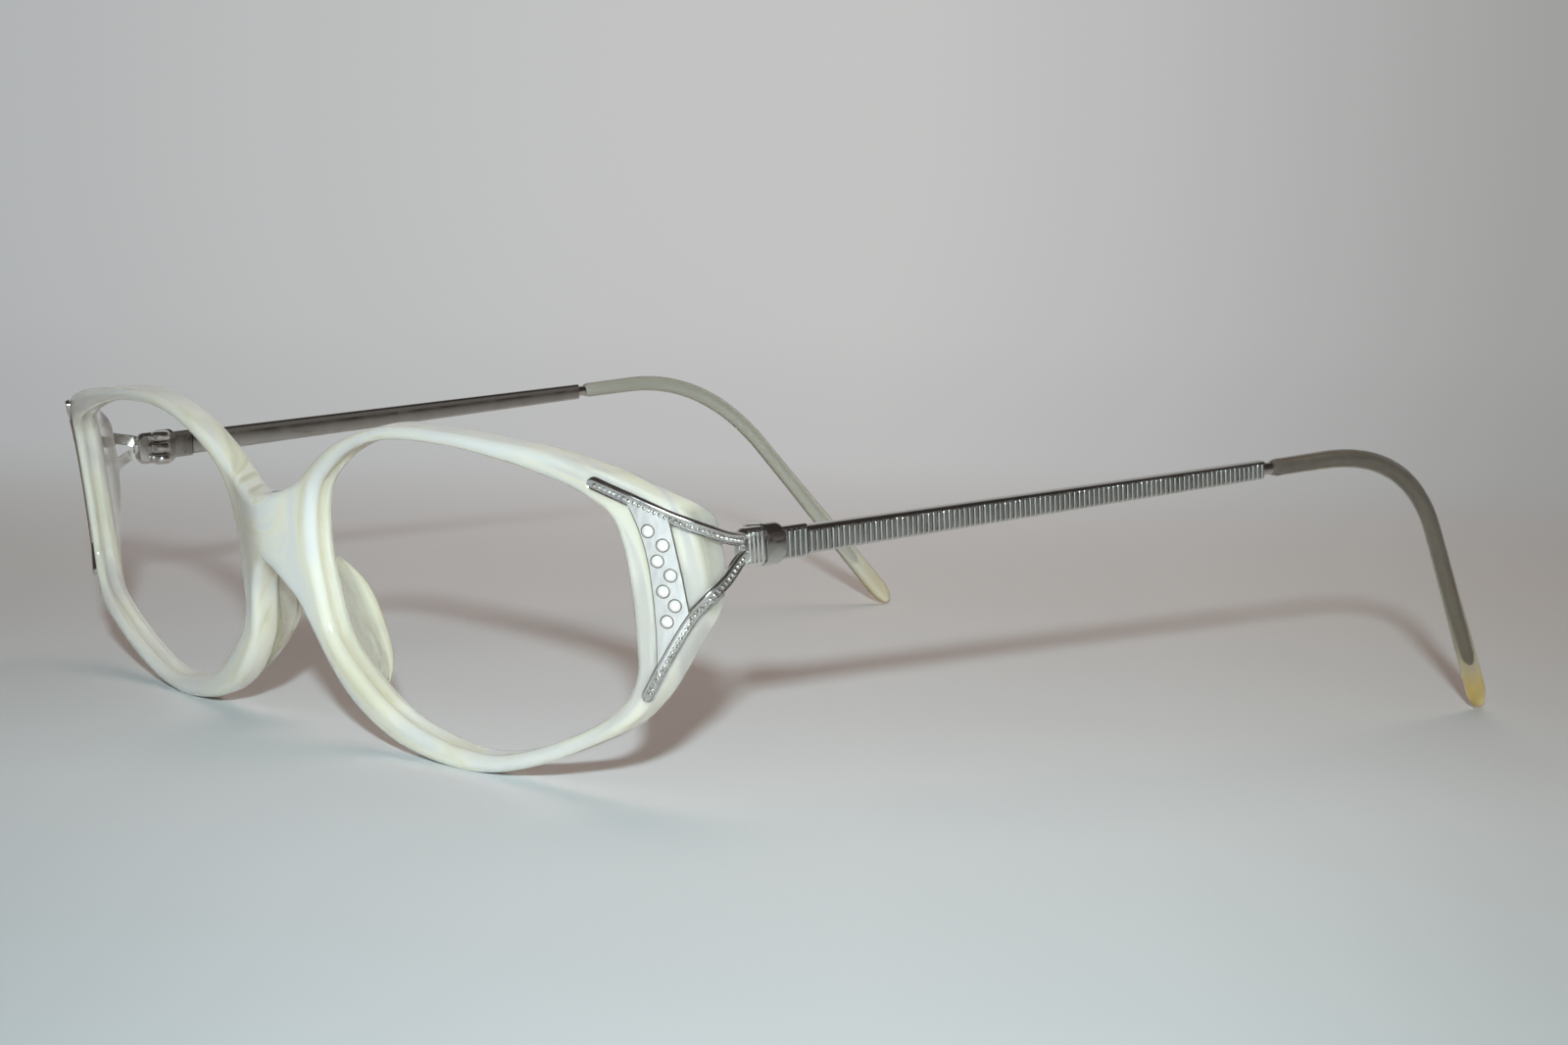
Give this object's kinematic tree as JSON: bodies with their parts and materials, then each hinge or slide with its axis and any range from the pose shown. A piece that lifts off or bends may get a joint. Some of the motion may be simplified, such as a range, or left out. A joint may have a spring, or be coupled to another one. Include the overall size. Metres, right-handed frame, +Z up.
{
  "type": "eyeglass frame",
  "caption": "Eyeglass frame with a marbled pearl acetate front, crystal-set Y-shaped metal end pieces, ribbed temple bars that fold on screw hinges and translucent acetate tips; no lenses.",
  "frame": {"origin": "bottom centre of the bounding box of the open frame standing on its rims and temple tips", "axes": "+Z up, the front faces -Y, the temples run to +Y, +X is the wearer's left"},
  "size_m": [0.1392, 0.1424, 0.0375],
  "materials": {
    "acetate": "polished, marbled pearl white with clear zones",
    "pad_acetate": "polished clear, faintly yellow",
    "polished_metal": "polished silver plating",
    "satin_metal": "satin silver",
    "crystal_glass": "faceted, clear",
    "tip_acetate": "translucent grey-olive"
  },
  "bodies": {
    "front": {"front_frame": "acetate", "nose_pad_left": "pad_acetate", "endpiece_left": "polished_metal", "stone_plate_left": "satin_metal", "crystal_left_1": "crystal_glass", "crystal_left_2": "crystal_glass", "crystal_left_3": "crystal_glass", "crystal_left_4": "crystal_glass", "crystal_left_5": "crystal_glass", "crystal_left_6": "crystal_glass", "crystal_left_7": "crystal_glass", "hinge_screw_left": "polished_metal", "nose_pad_right": "pad_acetate", "endpiece_right": "polished_metal", "stone_plate_right": "satin_metal", "crystal_right_1": "crystal_glass", "crystal_right_2": "crystal_glass", "crystal_right_3": "crystal_glass", "crystal_right_4": "crystal_glass", "crystal_right_5": "crystal_glass", "crystal_right_6": "crystal_glass", "crystal_right_7": "crystal_glass", "hinge_screw_right": "polished_metal"},
    "left_temple": {"hinge_cuff_left": "polished_metal", "temple_bar_left": "polished_metal", "temple_tip_left": "tip_acetate"},
    "right_temple": {"hinge_cuff_right": "polished_metal", "temple_bar_right": "polished_metal", "temple_tip_right": "tip_acetate"}
  },
  "joints": [
    {"name": "left_temple_fold", "type": "hinge", "parent": "front", "child": "left_temple", "pos_m": [0.0639, -0.04888, 0.02709], "axis": [0, -0.0805, 0.9968], "range_deg": [0, 90]},
    {"name": "right_temple_fold", "type": "hinge", "parent": "front", "child": "right_temple", "pos_m": [-0.0639, -0.04888, 0.02709], "axis": [0, 0.0805, -0.9968], "range_deg": [0, 83]}
  ]
}
